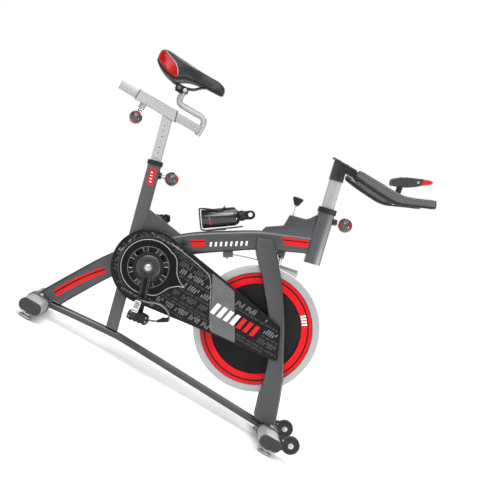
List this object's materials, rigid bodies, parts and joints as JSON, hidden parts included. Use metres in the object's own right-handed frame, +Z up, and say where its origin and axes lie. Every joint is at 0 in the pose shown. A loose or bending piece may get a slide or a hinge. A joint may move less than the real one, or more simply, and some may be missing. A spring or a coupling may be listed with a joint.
{
  "type": "indoor spin bike",
  "caption": "Indoor spin bike with a flywheel on a fork, belt drive under a long guard, sliding saddle and handlebar, brake knob, toe-clip pedals and transport wheels.",
  "frame": {"origin": "on the floor, under the middle of the overall box", "axes": "+X forward towards the handlebar, +Y to the rider's left, +Z up"},
  "size_m": [1.1862, 0.5, 1.121],
  "materials": {
    "frame_paint": "satin powder coat",
    "silver_paint": "satin silver powder coat",
    "steel": "machined",
    "dark_steel": "semi gloss",
    "guard_plastic": "gloss",
    "black_plastic": "satin",
    "cap_plastic": "matte",
    "rubber": "matte",
    "grip": "matte moulded",
    "leather": "fine grain",
    "knob_plastic": "gloss",
    "felt": "felt",
    "strap": "plain"
  },
  "bodies": {
    "frame": {"main_beam": "frame_paint", "head_tube": "frame_paint", "head_tube_collar": "black_plastic", "seat_tube": "frame_paint", "seat_tube_collar": "black_plastic", "lower_strut": "frame_paint", "fork_leg_right": "frame_paint", "fork_leg_left": "frame_paint", "base_tube": "frame_paint", "rear_stabilizer": "silver_paint", "front_stabilizer": "silver_paint", "end_cap_rear_right": "cap_plastic", "end_cap_rear_left": "cap_plastic", "end_cap_front_right": "cap_plastic", "end_cap_front_left": "cap_plastic", "belt_guard": "guard_plastic", "guard_backplate": "black_plastic", "drive_belt": "rubber", "brake_cover": "frame_paint", "bottle_cage": "steel"},
    "flywheel": {"flywheel": "steel", "flywheel_axle": "steel"},
    "crank": {"crank_spindle": "steel", "drive_pulley": "black_plastic", "crank_disc": "black_plastic", "crank_arm_right": "dark_steel", "crank_arm_left": "dark_steel"},
    "pedal_right": {"pedal_right": "black_plastic", "toe_clip_right": "steel", "toe_strap_right": "strap"},
    "pedal_left": {"pedal_left": "black_plastic", "toe_clip_left": "steel", "toe_strap_left": "strap"},
    "seat_post": {"seat_post": "silver_paint"},
    "seat_slider": {"seat_slider": "silver_paint"},
    "saddle": {"saddle_clamp": "black_plastic", "saddle_rails": "steel", "saddle_base": "black_plastic", "saddle": "leather"},
    "handlebar": {"handlebar_post": "silver_paint", "handlebar_stem": "dark_steel", "handlebar_tube": "dark_steel", "grip_right": "grip", "grip_left": "grip", "console": "black_plastic"},
    "console_button": {"console_button": "cap_plastic"},
    "head_knob": {"head_knob": "knob_plastic"},
    "seat_knob": {"seat_knob": "knob_plastic"},
    "slider_knob": {"slider_knob": "knob_plastic"},
    "brake_rod": {"brake_rod": "steel"},
    "resistance_knob": {"resistance_knob": "black_plastic"},
    "brake_arm": {"brake_arm": "steel", "brake_pad": "felt"},
    "transport_wheel_right": {"transport_wheel_right": "rubber"},
    "transport_wheel_left": {"transport_wheel_left": "rubber"},
    "bottle": {"bottle": "guard_plastic"},
    "levelling_foot_rear_right": {"levelling_foot_rear_right": "rubber"},
    "levelling_foot_rear_left": {"levelling_foot_rear_left": "rubber"},
    "levelling_foot_front_right": {"levelling_foot_front_right": "rubber"},
    "levelling_foot_front_left": {"levelling_foot_front_left": "rubber"}
  },
  "joints": [
    {"name": "flywheel_spin", "type": "hinge", "parent": "frame", "child": "flywheel", "pos_m": [0.26591, 0, 0.347], "axis": [0, 1, 0], "continuous": true},
    {"name": "crank_spin", "type": "hinge", "parent": "frame", "child": "crank", "pos_m": [-0.18009, 0, 0.35], "axis": [0, 1, 0], "continuous": true},
    {"name": "pedal_right_spin", "type": "hinge", "parent": "crank", "child": "pedal_right", "pos_m": [-0.12474, -0.15, 0.18926], "axis": [0, 1, 0], "continuous": true},
    {"name": "pedal_left_spin", "type": "hinge", "parent": "crank", "child": "pedal_left", "pos_m": [-0.23544, 0.15, 0.51074], "axis": [0, 1, 0], "continuous": true},
    {"name": "seat_post_slide", "type": "slide", "parent": "frame", "child": "seat_post", "axis": [-0.2554, 0, 0.9668], "range_m": [-0.12, 0.04]},
    {"name": "seat_slide", "type": "slide", "parent": "seat_post", "child": "seat_slider", "axis": [1, 0, 0], "range_m": [-0.07, 0.06]},
    {"name": "saddle_tilt", "type": "hinge", "parent": "seat_slider", "child": "saddle", "pos_m": [-0.38609, 0, 0.955], "axis": [0, 1, 0], "range_deg": [-8, 8]},
    {"name": "handlebar_slide", "type": "slide", "parent": "frame", "child": "handlebar", "axis": [-0.2334, 0, 0.9724], "range_m": [-0.05, 0.06]},
    {"name": "console_button_press", "type": "slide", "parent": "handlebar", "child": "console_button", "axis": [0.42, 0, -0.9075], "range_m": [0, 0.001], "stiffness_N_per_m": 800, "springref_m": -0.0006},
    {"name": "head_knob_pull", "type": "slide", "parent": "frame", "child": "head_knob", "axis": [0.9724, 0, 0.2334], "range_m": [0, 0.008], "stiffness_N_per_m": 1200, "springref_m": -0.005},
    {"name": "seat_knob_pull", "type": "slide", "parent": "frame", "child": "seat_knob", "axis": [0.9668, 0, 0.2554], "range_m": [0, 0.008], "stiffness_N_per_m": 1200, "springref_m": -0.005},
    {"name": "slider_knob_pull", "type": "slide", "parent": "seat_post", "child": "slider_knob", "axis": [0, 0, -1], "range_m": [0, 0.008], "stiffness_N_per_m": 1200, "springref_m": -0.005},
    {"name": "brake_rod_push", "type": "slide", "parent": "frame", "child": "brake_rod", "axis": [0.2334, 0, -0.9724], "range_m": [0, 0.0028], "stiffness_N_per_m": 3000, "springref_m": -0.003},
    {"name": "resistance_turn", "type": "hinge", "parent": "brake_rod", "child": "resistance_knob", "pos_m": [0.16605, 0, 0.81651], "axis": [-0.2334, 0, 0.9724], "range_deg": [-1080, 1080]},
    {"name": "brake_arm_tilt", "type": "hinge", "parent": "frame", "child": "brake_arm", "pos_m": [0.05591, 0, 0.536], "axis": [0, 1, 0], "range_deg": [0, 1.1]},
    {"name": "transport_wheel_right_spin", "type": "hinge", "parent": "frame", "child": "transport_wheel_right", "pos_m": [0.56091, -0.165, 0.0633], "axis": [0, 1, 0], "continuous": true},
    {"name": "transport_wheel_left_spin", "type": "hinge", "parent": "frame", "child": "transport_wheel_left", "pos_m": [0.56091, 0.165, 0.0633], "axis": [0, 1, 0], "continuous": true},
    {"name": "levelling_foot_rear_right_turn", "type": "hinge", "parent": "frame", "child": "levelling_foot_rear_right", "pos_m": [-0.45909, -0.214, 0.01], "axis": [0, 0, 1], "range_deg": [-720, 720]},
    {"name": "levelling_foot_rear_left_turn", "type": "hinge", "parent": "frame", "child": "levelling_foot_rear_left", "pos_m": [-0.45909, 0.214, 0.01], "axis": [0, 0, 1], "range_deg": [-720, 720]},
    {"name": "levelling_foot_front_right_turn", "type": "hinge", "parent": "frame", "child": "levelling_foot_front_right", "pos_m": [0.48591, -0.214, 0.01], "axis": [0, 0, 1], "range_deg": [-720, 720]},
    {"name": "levelling_foot_front_left_turn", "type": "hinge", "parent": "frame", "child": "levelling_foot_front_left", "pos_m": [0.48591, 0.214, 0.01], "axis": [0, 0, 1], "range_deg": [-720, 720]},
    {"name": "bottle_pull", "type": "slide", "parent": "frame", "child": "bottle", "axis": [0.8192, 0, 0.5736], "range_m": [0, 0.085]}
  ],
  "couplings": [
    {"joint": "crank_spin", "follows": "flywheel_spin", "ratio": 0.32},
    {"joint": "brake_arm_tilt", "follows": "brake_rod_push", "rad_per_m": 5.85}
  ]
}
